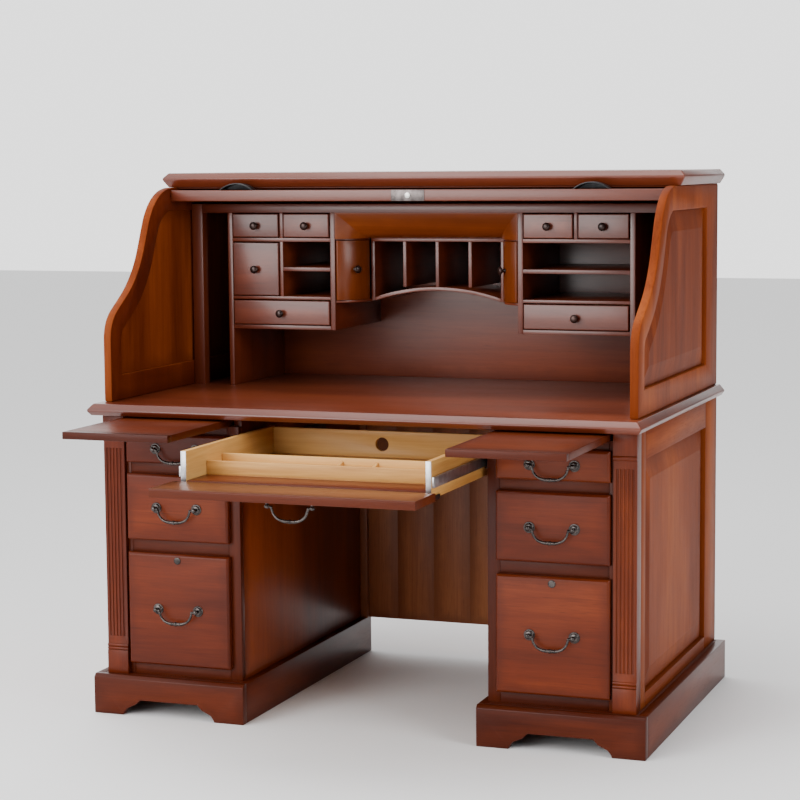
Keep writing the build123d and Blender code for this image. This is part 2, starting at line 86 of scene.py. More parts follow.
softBoxes = [
    # left, right, overhead, and a wide panel in front whose sheen shows on the upper fronts
    {"spot": (-2.6, -4.2, 3.4), "aim": (0, 0.1, 0.6), "size": (2.4, 2.0), "power": 95},
    {"spot": (4.2, -1.8, 2.4), "aim": (0.6, 0.1, 0.6), "size": (2.2, 2.2), "power": 120},
    {"spot": (0.0, -0.6, 4.6), "aim": (0, 0.1, 0.8), "size": (3.4, 2.4), "power": 85},
    {"spot": (-1.7, -4.7, 1.65), "aim": (0.1, 0, 1.4), "size": (3.6, 2.2), "power": 120},
]
skyLook = {"left": (2.1, 2.1, 2.1, 1), "right": (0.24, 0.24, 0.245, 1), "fade": (-0.12, 0.16)}


def addLights():
    for number, box in enumerate(softBoxes):
        aim = Vector(box["aim"]) - Vector(box["spot"])
        bpy.ops.object.light_add(type="AREA", location=box["spot"],
                                 rotation=aim.to_track_quat("-Z", "Y").to_euler())
        lamp = bpy.context.object
        lamp.name = f"softBox{number}"
        lamp.data.shape = "RECTANGLE"
        lamp.data.size, lamp.data.size_y = box["size"]
        lamp.data.energy = box["power"]
    # white on the left, dimmer on the right, so that the right side keeps its colour
    world = bpy.data.worlds.new("studioSky")
    world.use_nodes = True
    nodes, links = world.node_tree.nodes, world.node_tree.links
    way = nodes.new("ShaderNodeTexCoord")
    split = nodes.new("ShaderNodeSeparateXYZ")
    spread = nodes.new("ShaderNodeMapRange")
    blend = nodes.new("ShaderNodeMix")
    spread.inputs["From Min"].default_value = skyLook["fade"][0]
    spread.inputs["From Max"].default_value = skyLook["fade"][1]
    blend.data_type = "RGBA"
    blend.inputs[6].default_value = skyLook["left"]
    blend.inputs[7].default_value = skyLook["right"]
    links.new(way.outputs["Generated"], split.inputs[0])
    links.new(split.outputs["X"], spread.inputs["Value"])
    links.new(spread.outputs[0], blend.inputs[0])
    links.new(blend.outputs[2], nodes["Background"].inputs[0])
    bpy.context.scene.world = world


# painted shade, darkening each board towards its rim
rimShadeLook = {"patches": (14, 14, 14), "reach": 0.075, "strength": 0.55}


class Value:
    # one number socket, so that node maths reads as arithmetic
    def __init__(self, maker, socket):
        self.maker = maker
        self.socket = socket

    def maths(self, operation, first, second):
        return self.maker.node("ShaderNodeMath", {"operation": operation}, {0: first, 1: second})

    def __add__(self, other): return self.maths("ADD", self, other)
    def __radd__(self, other): return self.maths("ADD", other, self)
    def __sub__(self, other): return self.maths("SUBTRACT", self, other)
    def __rsub__(self, other): return self.maths("SUBTRACT", other, self)
    def __mul__(self, other): return self.maths("MULTIPLY", self, other)
    def __rmul__(self, other): return self.maths("MULTIPLY", other, self)


class Maker:
    # writes one material's nodes
    def __init__(self, name):
        self.material = bpy.data.materials.new(name)
        self.material.use_nodes = True
        self.tree = self.material.node_tree
        self.shader = self.tree.nodes["Principled BSDF"]

    def feed(self, socket, value):
        if isinstance(value, Value):
            self.tree.links.new(value.socket, socket)
        else:
            socket.default_value = value

    def node(self, kind, settings=None, sockets=None, out=0):
        made = self.tree.nodes.new(kind)
        for key, value in (settings or {}).items():
            if key == "stops":
                self.setStops(made.color_ramp, value)
            else:
                setattr(made, key, value)
        for key, value in (sockets or {}).items():
            self.feed(made.inputs[key], value)
        return Value(self, made.outputs[out])

    def setStops(self, ramp, stops):
        while len(ramp.elements) < len(stops):
            ramp.elements.new(0.5)
        for element, (place, shade) in zip(ramp.elements, stops):
            element.position = place
            element.color = (*shade, 1)

    def ramp(self, value, stops):
        return self.node("ShaderNodeValToRGB", {"stops": stops}, {0: value})

    def noise(self, place, stretch, detail=3.0, rough=0.5, twist=0.0):
        stretched = self.node("ShaderNodeMapping", {}, {"Vector": place, "Scale": stretch})
        return self.node("ShaderNodeTexNoise", {}, {"Vector": stretched, "Scale": 1.0, "Detail": detail,
                                                    "Roughness": rough, "Distortion": twist})

    def mixColour(self, factor, first, second):
        return self.node("ShaderNodeMix", {"data_type": "RGBA"}, {0: factor, 6: first, 7: second}, out=2)

    def stored(self, name):
        # a number kept on the piece's corners or faces
        return self.node("ShaderNodeAttribute", {"attribute_name": name}, out=2)

    def storedVector(self, name):
        return self.node("ShaderNodeAttribute", {"attribute_name": name}, out=1)

    def rimShade(self):
        # painted shade: 1 at a board's rim, fading to 0 a few centimetres in, uneven along the way
        spot = self.storedVector("spot")
        half = self.storedVector("half")
        size = self.node("ShaderNodeVectorMath", {"operation": "ABSOLUTE"}, {0: spot})
        left = self.node("ShaderNodeVectorMath", {"operation": "SUBTRACT"}, {0: half, 1: size})
        near = self.node("ShaderNodeMath", {"operation": "MINIMUM"},
                         {0: self.part(left, "X"), 1: self.part(left, "Y")})
        uneven = self.noise(spot, rimShadeLook["patches"], 3.0, 0.6)
        return self.node("ShaderNodeMapRange", {"interpolation_type": "SMOOTHSTEP"},
                         {"Value": near, "From Min": 0.0, "From Max": uneven * rimShadeLook["reach"],
                          "To Min": 1.0, "To Max": 0.0})

    def part(self, vector, axis):
        made = self.tree.nodes.new("ShaderNodeSeparateXYZ")
        self.feed(made.inputs[0], vector)
        return Value(self, made.outputs[axis])

    def bump(self, height, strength, distance):
        return self.node("ShaderNodeBump", {},
                         {"Height": height, "Strength": strength, "Distance": distance})

    def finish(self, sockets):
        for key, value in sockets.items():
            self.feed(self.shader.inputs[key], value)
        return self.material


# Each board keeps on its corners where it lies in its own grain, x being along it, how far it
# reaches from its middle, and one tone for the whole board. wear is 1 on its rounded edges.

cherryTones = {
    # red: drawer fronts, pilasters, inner sides and slats; deep: plinths, face frames, writing slides
    # and the folding front; that front's upward face has a lighter, more orange tone of its own; side:
    # outer sides;
    # brown: modesty panel; amber: curved doors and frieze; back: behind the gallery; sheen: desktop and
    # all above it
    "red": {"dark": (0.058, 0.0068, 0.0012), "mid": (0.116, 0.0165, 0.0026),
            "light": (0.195, 0.0350, 0.0060),
            "line": (0.026, 0.0034, 0.0010), "rough": 0.33, "coat": 0.03, "shine": 0.17},
    "deep": {"dark": (0.042, 0.0058, 0.0014), "mid": (0.090, 0.0140, 0.0032),
             "light": (0.140, 0.0260, 0.0064),
             "line": (0.020, 0.0030, 0.0010), "rough": 0.34, "coat": 0.03, "shine": 0.14},
    # the folding front's upward face, lighter and more orange than its edges
    "stain": {"dark": (0.060, 0.0120, 0.0030), "mid": (0.125, 0.0330, 0.0080),
              "light": (0.220, 0.0700, 0.0200),
              "line": (0.032, 0.0070, 0.0020), "rough": 0.36, "coat": 0.05, "shine": 0.22},
    # side is painted lighter and more orange than the fronts, standing in for the light and sheen on the
    # sides
    "side": {"dark": (0.110, 0.0175, 0.0030), "mid": (0.205, 0.0400, 0.0072),
             "light": (0.310, 0.0760, 0.0150),
             "line": (0.060, 0.0090, 0.0020), "rough": 0.46, "coat": 0.0, "shine": 0.05},
    # brown is painted lighter than the other cherry, standing in for light in the shaded kneehole
    "brown": {"dark": (0.110, 0.0270, 0.0090), "mid": (0.220, 0.0620, 0.0200),
              "light": (0.340, 0.1150, 0.0400),
              "line": (0.050, 0.0120, 0.0050), "rough": 0.42, "coat": 0.0, "shine": 0.30},
    "amber": {"dark": (0.105, 0.0190, 0.0018), "mid": (0.190, 0.0370, 0.0050),
              "light": (0.290, 0.0680, 0.0100),
              "line": (0.055, 0.0090, 0.0014), "rough": 0.30, "coat": 0.10, "shine": 0.30},
    "back": {"dark": (0.085, 0.0130, 0.0036), "mid": (0.165, 0.0310, 0.0090),
             "light": (0.240, 0.0520, 0.0160),
             "line": (0.040, 0.0070, 0.0024), "rough": 0.40, "coat": 0.12, "shine": 0.30},
    "sheen": {"dark": (0.072, 0.0100, 0.0028), "mid": (0.140, 0.0240, 0.0070),
              "light": (0.215, 0.0430, 0.0140),
              "line": (0.034, 0.0060, 0.0024), "rough": 0.34, "coat": 0.38, "shine": 0.40},
}


cherryFigure = {
    # how often each pattern repeats in a metre, along the grain and across it
    "drift": (0.9, 5.0, 5.0),
    "figure": (1.6, 26.0, 26.0),
    "fibre": (9.0, 330.0, 330.0),
    "pores": (26.0, 900.0, 900.0),
    "flecks": (3.0, 60.0, 60.0),
    "rubbing": (22.0, 22.0, 22.0),
    "smears": (3.0, 7.0, 7.0),
}
black, white = (0, 0, 0), (1, 1, 1)


def cherryWood(name):
    tone = cherryTones[name]
    make = Maker("cherry_" + name)
    place, board, wear = make.storedVector("grain"), make.stored("tone"), make.stored("wear")
    drift = make.noise(place, cherryFigure["drift"], 3.0, 0.5, 0.6)
    figure = make.noise(place, cherryFigure["figure"], 5.0, 0.62, 1.4)
    fibre = make.noise(place, cherryFigure["fibre"], 3.0, 0.6)
    pores = make.noise(place, cherryFigure["pores"], 2.0, 0.5)
    flecks = make.noise(place, cherryFigure["flecks"], 2.0, 0.5, 0.8)
    rubbing = make.noise(place, cherryFigure["rubbing"], 3.0, 0.7)
    smears = make.noise(place, cherryFigure["smears"], 4.0, 0.6)
    blend = drift * 0.62 + figure * 0.26 + fibre * 0.13 + board * 0.07 - 0.01
    body = make.ramp(blend, [(0.34, tone["dark"]), (0.50, tone["mid"]), (0.67, tone["light"])])
    streak = make.ramp(flecks, [(0.66, black), (0.80, white)])
    pits = make.ramp(pores, [(0.28, white), (0.40, black)])
    rubbed = wear * make.ramp(rubbing, [(0.38, black), (0.62, white)])
    # painted shade darkens each board towards its rim
    shaded = make.mixColour(make.rimShade() * rimShadeLook["strength"], body, (*tone["dark"], 1))
    lined = make.mixColour(streak * 0.40, shaded, (*tone["line"], 1))
    pitted = make.mixColour(pits * 0.40, lined, (*tone["line"], 1))
    shown = make.mixColour(rubbed * 0.45, pitted, (*tone["light"], 1))
    rough = tone["rough"] - 0.05 + smears * 0.12 + pits * 0.10 + rubbed * 0.10
    height = fibre * 0.35 + figure * 0.35 - pits * 0.5
    return make.finish({"Base Color": shown, "Roughness": rough,
                        "Normal": make.bump(height, 0.16, 0.0006),
                        "Coat Weight": tone["coat"], "Coat Roughness": 0.20, "IOR": 1.5,
                        "Specular IOR Level": tone["shine"]})


mapleLook = {
    "dark": (0.44, 0.190, 0.042),
    "mid": (0.62, 0.320, 0.088),
    "light": (0.76, 0.450, 0.150),
    "drift": (1.0, 9.0, 9.0),
    "figure": (2.2, 40.0, 40.0),
    "fibre": (14.0, 420.0, 420.0),
    "smears": (4.0, 9.0, 9.0),
    "rough": 0.34,
    "shine": 0.3,
}


def mapleWood():
    make = Maker("maple")
    place, board = make.storedVector("grain"), make.stored("tone")
    drift = make.noise(place, mapleLook["drift"], 3.0, 0.5, 0.5)
    figure = make.noise(place, mapleLook["figure"], 4.0, 0.6, 1.0)
    fibre = make.noise(place, mapleLook["fibre"], 3.0, 0.6)
    smears = make.noise(place, mapleLook["smears"], 3.0, 0.6)
    blend = drift * 0.40 + figure * 0.45 + fibre * 0.18 + board * 0.09 - 0.01
    body = make.ramp(blend, [(0.34, mapleLook["dark"]), (0.50, mapleLook["mid"]),
                             (0.68, mapleLook["light"])])
    return make.finish({"Base Color": body, "Roughness": mapleLook["rough"] + smears * 0.16,
                        "Normal": make.bump(fibre * 0.5 + figure * 0.3, 0.14, 0.0005),
                        "Specular IOR Level": mapleLook["shine"]})


metalTones = {
    "dark_bronze": {"low": (0.030, 0.026, 0.025), "high": (0.105, 0.090, 0.084),
                    "metal": 0.95, "rough": 0.24},
    "nickel": {"low": (0.42, 0.41, 0.39), "high": (0.62, 0.60, 0.57),
               "metal": 1.0, "rough": 0.26},
    "black_steel": {"low": (0.010, 0.010, 0.011), "high": (0.032, 0.032, 0.034),
                    "metal": 0.7, "rough": 0.36},
    "bright_steel": {"low": (0.40, 0.40, 0.41), "high": (0.60, 0.60, 0.61),
                     "metal": 1.0, "rough": 0.30},
    "pewter": {"low": (0.060, 0.050, 0.048), "high": (0.190, 0.160, 0.155),
               "metal": 0.9, "rough": 0.30},
    "knob_bronze": {"low": (0.014, 0.007, 0.006), "high": (0.055, 0.026, 0.020),
                    "metal": 0.55, "rough": 0.26},
}
metalPatches = {"cloud": (55, 55, 55), "grit": (700, 700, 700)}


def wornMetal(name):
    tone = metalTones[name]
    make = Maker(name)
    place = make.node("ShaderNodeTexCoord", {}, out=3)
    cloud = make.noise(place, metalPatches["cloud"], 4.0, 0.6)
    grit = make.noise(place, metalPatches["grit"], 2.0, 0.6)
    body = make.ramp(cloud * 0.8 + grit * 0.2, [(0.36, tone["low"]), (0.66, tone["high"])])
    return make.finish({"Base Color": body, "Metallic": tone["metal"],
                        "Roughness": tone["rough"] + cloud * 0.18 - 0.06,
                        "Normal": make.bump(grit, 0.10, 0.0002)})


woods = {name: cherryWood(name) for name in cherryTones}
woods["maple"] = mapleWood()
metals = {name: wornMetal(name) for name in metalTones}
print("materials written")


def clearSelection():
    if bpy.context.object and bpy.context.object.mode != "OBJECT":
        bpy.ops.object.mode_set(mode="OBJECT")
    bpy.ops.object.select_all(action="DESELECT")


def pickOnly(piece):
    clearSelection()
    piece.select_set(True)
    bpy.context.view_layer.objects.active = piece


boardEdges = {
    "smallest": 0.03,      # a solid smaller than this every way is a post, knob or lock
    "mergeGap": 0.000002,
    "flatness": 1.2,       # degrees
    "roundOver": 25,
    "smooth": 32,
}


def shellsOf(mesh):
    # faces come one closed board after another: a board ends where no edge is left open
    spots = [tuple(round(c, 6) for c in v.co) for v in mesh.vertices]
    shells, shell, unmatched = [], [], {}
    for face in mesh.polygons:
        ring = [spots[i] for i in face.vertices]
        shell.append(face.index)
        for a, b in zip(ring, ring[1:] + ring[:1]):
            if a == b:
                continue
            if unmatched.get((b, a), 0):
                unmatched[(b, a)] -= 1
                if not unmatched[(b, a)]:
                    del unmatched[(b, a)]
            else:
                unmatched[(a, b)] = unmatched.get((a, b), 0) + 1
        if not unmatched:
            shells.append(shell)
            shell = []
    if shell:
        shells.append(shell)
    return shells


def cornersOf(points):
    low = Vector([min(p[i] for p in points) for i in range(3)])
    high = Vector([max(p[i] for p in points) for i in range(3)])
    return low, high


def copyNode(node, name):
    piece = bpy.data.objects.new(name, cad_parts[node].data.copy())
    bpy.context.scene.collection.objects.link(piece)
    pickOnly(piece)
    bpy.ops.mesh.customdata_custom_splitnormals_clear()
    piece.data.materials.clear()
    return piece


def mergeShells(piece, keep):
    # merges each board by itself, and takes out the small metal parts unless told to keep them
    shells = shellsOf(piece.data)
    spots = piece.data.vertices
    fittings, boards = [], []
    for shell in shells:
        used = {i for f in shell for i in piece.data.polygons[f].vertices}
        low, high = cornersOf([spots[i].co for i in used])
        if keep or max(high - low) > boardEdges["smallest"]:
            boards.append(used)
        else:
            fittings.append((low, high, used))
    pickOnly(piece)
    bpy.ops.object.mode_set(mode="EDIT")
    bpy.ops.mesh.select_mode(type="VERT")
    bpy.ops.mesh.select_all(action="DESELECT")
    for number, used in enumerate(boards):
        net = bmesh.from_edit_mesh(piece.data)
        layer = net.verts.layers.int.get("board") or net.verts.layers.int.new("board")
        net.verts.ensure_lookup_table()
        for i in used:
            net.verts[i][layer] = number + 1
    bmesh.update_edit_mesh(piece.data)
    for number in range(len(boards)):
        net = bmesh.from_edit_mesh(piece.data)
        layer = net.verts.layers.int.get("board")
        for v in net.verts:
            v.select = v[layer] == number + 1
        net.select_flush(True)
        bmesh.update_edit_mesh(piece.data)
        bpy.ops.mesh.remove_doubles(threshold=boardEdges["mergeGap"])
        bpy.ops.mesh.select_all(action="DESELECT")
    net = bmesh.from_edit_mesh(piece.data)
    layer = net.verts.layers.int.get("board")
    loose = [v for v in net.verts if v[layer] == 0]
    if loose:
        for v in loose:
            v.select = True
        net.select_flush(True)
        bmesh.update_edit_mesh(piece.data)
        bpy.ops.mesh.delete(type="VERT")
    bpy.ops.object.mode_set(mode="OBJECT")
    return [(low, high) for low, high, used in fittings]


upperPanel = {"above": 0.78, "rim": 0.655, "field": 0.6628, "near": 0.0003}


def slopeUpperPanels(piece):
    # the field stands on the panel as a step: the step becomes a slope from the rim to the field
    for side in (-1, 1):
        net = bmesh.from_edit_mesh(piece.data)
        for face in net.faces:
            spot = face.calc_center_median()
            out = spot.x * side
            atRim = abs(out - upperPanel["rim"]) < upperPanel["near"]
            onStep = upperPanel["rim"] < out < upperPanel["field"] and abs(face.normal.x) < 0.2
            face.select_set(spot.z > upperPanel["above"] and (atRim or onStep))
        bmesh.update_edit_mesh(piece.data)
        bpy.ops.mesh.delete(type="FACE")
        net = bmesh.from_edit_mesh(piece.data)
        for edge in net.edges:
            edge.select_set(edge.is_boundary)
        bmesh.update_edit_mesh(piece.data)
        bpy.ops.mesh.select_mode(type="EDGE")
        bpy.ops.mesh.bridge_edge_loops()
        bpy.ops.mesh.select_all(action="DESELECT")
    bpy.ops.mesh.select_mode(type="FACE")
    bpy.ops.mesh.select_all(action="SELECT")
    bpy.ops.mesh.normals_make_consistent(inside=False)


def soften(piece, width, steps, shade=boardEdges["smooth"], reshape=None):
    pickOnly(piece)
    bpy.ops.object.mode_set(mode="EDIT")
    bpy.ops.mesh.select_mode(type="FACE")
    bpy.ops.mesh.select_all(action="SELECT")
    bpy.ops.mesh.dissolve_limited(angle_limit=radians(boardEdges["flatness"]))
    if reshape:
        bpy.ops.mesh.select_all(action="DESELECT")
        reshape(piece)
    bpy.ops.object.mode_set(mode="OBJECT")
    rounding = piece.modifiers.new("softEdge", "BEVEL")
    rounding.width = width
    rounding.segments = steps
    rounding.limit_method = "ANGLE"
    rounding.angle_limit = radians(boardEdges["roundOver"])
    rounding.use_clamp_overlap = True
    rounding.material = 1  # marks the rounded edges, which wear first
    bpy.ops.object.modifier_apply(modifier="softEdge")
    bpy.ops.object.shade_smooth_by_angle(angle=radians(shade))


def islandsOf(mesh):
    # the corners of each board, by following its edges
    owner = list(range(len(mesh.vertices)))

    def root(i):
        while owner[i] != i:
            owner[i] = owner[owner[i]]
            i = owner[i]
        return i

    for edge in mesh.edges:
        a, b = root(edge.vertices[0]), root(edge.vertices[1])
        if a != b:
            owner[a] = b
    groups = {}
    for i in range(len(owner)):
        groups.setdefault(root(i), []).append(i)
    return list(groups.values())


def grainBoards(piece, seed, choose):
    # choose(low, high) gives a board's grain axis, or None for its longest, and its wood
    mesh = piece.data
    dice = Random(seed)
    wear = [1.0 if f.material_index == 1 else 0.0 for f in mesh.polygons]
    islands = sorted(islandsOf(mesh), key=lambda g: min(g))
    stored = {name: [0.0] * (3 * len(mesh.vertices)) for name in ("grain", "spot", "half")}
    tone = [0.0] * len(mesh.vertices)
    woodOf = {}
    names = []
    for island in islands:
        low, high = cornersOf([mesh.vertices[i].co for i in island])
        axis, wood = choose(low, high)
        size = high - low
        if axis is None:
            axis = max(range(3), key=lambda k: size[k])
        others = [k for k in range(3) if k != axis]
        others.sort(key=lambda k: -size[k])
        shift = Vector((dice.uniform(0, 9), dice.uniform(0, 9), dice.uniform(0, 9)))
        shade = dice.uniform(-1, 1)
        order = (axis, others[0], others[1])
        middle = Vector([(low[k] + high[k]) / 2 for k in order])
        reach = Vector([size[k] / 2 for k in order])
        if wood not in names:
            names.append(wood)
        for i in island:
            own = Vector([mesh.vertices[i].co[k] for k in order])
            for name, value in (("grain", own + shift), ("spot", own - middle), ("half", reach)):
                stored[name][3 * i:3 * i + 3] = value
            tone[i] = shade
            woodOf[i] = names.index(wood)
    # every attribute is made before any is filled, because making one can move the others
    for name in stored:
        mesh.attributes.new(name, "FLOAT_VECTOR", "POINT")
    mesh.attributes.new("tone", "FLOAT", "POINT")
    mesh.attributes.new("wear", "FLOAT", "FACE")
    for name, values in stored.items():
        mesh.attributes[name].data.foreach_set("vector", values)
    mesh.attributes["tone"].data.foreach_set("value", tone)
    mesh.attributes["wear"].data.foreach_set("value", wear)
    mesh.materials.clear()
    for wood in names:
        mesh.materials.append(woods[wood] if wood in woods else metals[wood])
    for face in mesh.polygons:
        face.material_index = woodOf[face.vertices[0]]
    if "board" in mesh.attributes:
        mesh.attributes.remove(mesh.attributes["board"])


def plainChoice(wood, axis=None):
    # the same wood for every board of a node
    return lambda low, high: (axis, wood)


def repaint(piece, material, test):
    # gives the faces that pass the test another material
    piece.data.materials.append(material)
    for face in piece.data.polygons:
        if test(face):
            face.material_index = len(piece.data.materials) - 1


def boardPiece(node, body, slot, choose, width=0.0012, steps=2, keep=False, **shaping):
    piece = copyNode(node, node + "_boards")
    fittings = mergeShells(piece, keep)
    soften(piece, width, steps, **shaping)
    seed = sum(ord(letter) * (place + 3) for place, letter in enumerate(node))
    grainBoards(piece, seed, choose)
    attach(piece, body)
    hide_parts(node)
    return piece, fittings


def spunShape(name, profile, turns=32):
    # a turned shape about +Z from radius and height pairs, closed at both ends
    bpy.ops.mesh.primitive_circle_add(vertices=turns, radius=profile[0][0],
                                      location=(0, 0, profile[0][1]), fill_type="TRIFAN")
    piece = bpy.context.object
    piece.name = name
    bpy.ops.object.transform_apply(location=True)
    bpy.ops.object.mode_set(mode="EDIT")
    bpy.ops.mesh.select_mode(type="EDGE")
    net = bmesh.from_edit_mesh(piece.data)
    for edge in net.edges:
        edge.select = edge.is_boundary
    for vert in net.verts:
        vert.select = any(e.select for e in vert.link_edges)
    bmesh.update_edit_mesh(piece.data)
    for (r0, z0), (r1, z1) in zip(profile, profile[1:]):
        bpy.ops.mesh.extrude_edges_move(TRANSFORM_OT_translate={"value": (0, 0, z1 - z0)})
        scale = r1 / r0
        bpy.ops.transform.resize(value=(scale, scale, 1), center_override=(0, 0, z1))
    bpy.ops.mesh.edge_face_add()
    bpy.ops.mesh.select_all(action="SELECT")
    bpy.ops.mesh.normals_make_consistent(inside=False)
    bpy.ops.object.mode_set(mode="OBJECT")
    bpy.ops.object.shade_smooth_by_angle(angle=radians(40))
    return piece


def placed(source, name, matrix):
    # a copy with its own mesh, its place taken into the mesh
    clearSelection()
    piece = source.copy()
    piece.data = source.data.copy()
    piece.name = name
    bpy.context.scene.collection.objects.link(piece)
    piece.matrix_world = matrix
    pickOnly(piece)
    bpy.ops.object.transform_apply(location=True, rotation=True, scale=True)
    return piece


def joined(pieces, name):
    clearSelection()
    for piece in pieces:
        piece.select_set(True)
    bpy.context.view_layer.objects.active = pieces[0]
    bpy.ops.object.join()
    bpy.context.object.name = name
    return bpy.context.object


def discard(*pieces):
    clearSelection()
    for piece in pieces:
        piece.select_set(True)
    bpy.ops.object.delete()


pullShape = {
    "reach": 0.053,        # from the middle to a post
    "drop": 0.0315,
    "thin": 0.0023,        # radii of the wire
    "thick": 0.0040,
    "beadProfile": [(0.0030, -0.0042), (0.0044, -0.0034), (0.0052, -0.0012), (0.0053, 0.0006),
                    (0.0046, 0.0030), (0.0030, 0.0042)],
    "beads": [("middleBead", 0.0, 1.0), ("sideBead", -0.0105, 0.8), ("sideBead", 0.0105, 0.8)],
    "endBead": (0.0435, -0.0015, 0.72),
}
rosetteProfile = [(0.0130, 0.0), (0.0133, 0.0014), (0.0124, 0.0026), (0.0108, 0.0028), (0.0106, 0.0040),
                  (0.0092, 0.0056), (0.0058, 0.0064),
                  (0.0040, 0.0066), (0.0036, 0.0100), (0.0042, 0.0120),
                  (0.0056, 0.0138), (0.0060, 0.0160),
                  (0.0056, 0.0182), (0.0042, 0.0198), (0.0018, 0.0207)]
knobProfile = [(0.0056, 0.0), (0.0058, 0.0010), (0.0048, 0.0020), (0.0040, 0.0046), (0.0046, 0.0070),
               (0.0078, 0.0090), (0.0100, 0.0112), (0.0104, 0.0132), (0.0096, 0.0156), (0.0070, 0.0174),
               (0.0032, 0.0183), (0.0008, 0.0185)]
lockDepth = 0.006
lockProfile = [(0.0086, 0.0), (0.0088, 0.0014), (0.0080, 0.0024), (0.0070, 0.0026), (0.0066, 0.0020),
               (0.0050, 0.0020), (0.0016, 0.0020)]


def bailShape():
    # a bent wire, swelling to a beaded middle, hanging in -Z from its two ends
    reach, drop = pullShape["reach"], pullShape["drop"]
    thin, thick = pullShape["thin"], pullShape["thick"]
    half = [(reach + 0.001, 0.0, thin), (reach - 0.0075, 0.0, thin * 1.05),
            (reach - 0.0115, -0.006, thin * 1.3), (reach - 0.0135, -0.0150, thin * 1.25),
            (reach - 0.022, -0.0255, thin * 1.35), (reach - 0.034, -drop + 0.0010, thick * 0.86),
            (reach - 0.044, -drop, thick)]
    stations = [(-x, z, r) for x, z, r in half] + [(0, -drop, thick)] + half[::-1]
    bpy.ops.curve.primitive_nurbs_path_add()
    wire = bpy.context.object
    wire.data.splines.clear()
    spline = wire.data.splines.new("NURBS")
    spline.points.add(len(stations) - 1)
    for point, (x, z, r) in zip(spline.points, stations):
        point.co = (x, 0, z, 1)
        point.radius = r / thick
    spline.use_endpoint_u = True
    spline.order_u = 3
    spline.resolution_u = 5
    wire.data.bevel_depth = thick
    wire.data.bevel_resolution = 3
    wire.data.use_fill_caps = True
    pickOnly(wire)
    bpy.ops.object.convert(target="MESH")
    wire = bpy.context.object
    wire.name = "bailWire"
    bead = spunShape("bailBead", pullShape["beadProfile"], 20)
    along = Matrix.Rotation(pi / 2, 4, "Y")
    spots = [(name, (x, 0, -drop), scale) for name, x, scale in pullShape["beads"]]
    endX, endZ, endScale = pullShape["endBead"]
    spots += [("endBead", (s * endX, 0, endZ), endScale) for s in (-1, 1)]
    beads = [placed(bead, name, Matrix.Translation(spot) @ along @ Matrix.Scale(scale, 4))
             for name, spot, scale in spots]
    discard(bead)
    whole = joined([wire] + beads, "bailPattern")
    pickOnly(whole)
    bpy.ops.object.shade_smooth_by_angle(angle=radians(50))
    whole.data.materials.clear()
    whole.data.materials.append(metals["dark_bronze"])
    return whole


patterns = {
    "bail": bailShape(),
    "rosette": spunShape("rosettePattern", rosetteProfile),
    "knob": spunShape("knobPattern", knobProfile, 28),
    "lock": spunShape("lockPattern", lockProfile, 28),
}
patterns["rosette"].data.materials.append(metals["dark_bronze"])
patterns["knob"].data.materials.append(metals["knob_bronze"])
patterns["lock"].data.materials.append(metals["dark_bronze"])
print("patterns turned")


def facing(direction):
    # turns +Z to a direction
    return Vector((0, 0, 1)).rotation_difference(Vector(direction)).to_matrix().to_4x4()


def addPull(node, body):
    # hangs from the pull's axis, which is near the top of its CAD wire
    low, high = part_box(node)
    axis = Vector(((low.x + high.x) / 2, (low.y + high.y) / 2, high.z - 0.002))
    piece = placed(patterns["bail"], node + "_bail", Matrix.Translation(axis))
    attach(piece, body)
    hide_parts(node)


def addFittings(owner, body, fittings, direction, shown="rosette"):
    # puts a post with its rosette, a knob or, where the solid is thin, a lock in each fitting's place
    made = []
    face = Vector(direction)
    for low, high in fittings:
        middle = (low + high) / 2
        size = high - low
        seat = middle - face * (abs(size.dot(face)) / 2)
        thin = abs(size.dot(face)) < lockDepth
        kind = "lock" if thin else shown
        made.append(placed(patterns[kind], kind, Matrix.Translation(seat) @ facing(face)))
    if made:
        piece = joined(made, owner + "_fittings")
        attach(piece, body)


drawerBoards = {
    "slack": 0.003,
    "across": 0.1,         # boards wider than this run from side to side
    "pedestalFront": 0.024,
    "galleryFront": 0.018,
}


def drawerGrain(frontY, wood="red"):
    # the front's grain runs across, and the drawer box is maple
    def choose(low, high):
        if low.y < frontY + drawerBoards["slack"]:
            return 0, wood
        return (0 if high.x - low.x > drawerBoards["across"] else 1), "maple"
    return choose


caseNodes = {
    "left_plinth": ("deep", None), "right_plinth": ("deep", None),
    "left_outer_side": ("side", None), "right_outer_side": ("side", None),
    "left_inner_side": ("red", 2), "right_inner_side": ("red", 2),
    "left_face_frame": ("deep", None), "right_face_frame": ("deep", None),
    "left_pilaster": ("red", 2), "right_pilaster": ("red", 2),
    "pedestal_backs": ("red", 2), "modesty_panel": ("brown", 2), "drawer_runners": ("maple", 1),
    "raised_panels": ("side", 2), "left_hutch_side": ("side", 2), "right_hutch_side": ("side", 2),
    "hutch_back": ("back", 0), "top_rail": ("red", 0), "gallery_case": ("sheen", None),
    "letter_rack": ("sheen", None), "frieze_moulding": ("amber", 0),
}
edgeWidths = {
    "usual": 0.0014, "tops": 0.004, "left_pilaster": 0.0007, "right_pilaster": 0.0007,
    "letter_rack": 0.0009, "gallery_case": 0.0009, "modesty_panel": 0.0002,
    "left_hutch_side": 0.004, "right_hutch_side": 0.004,
}


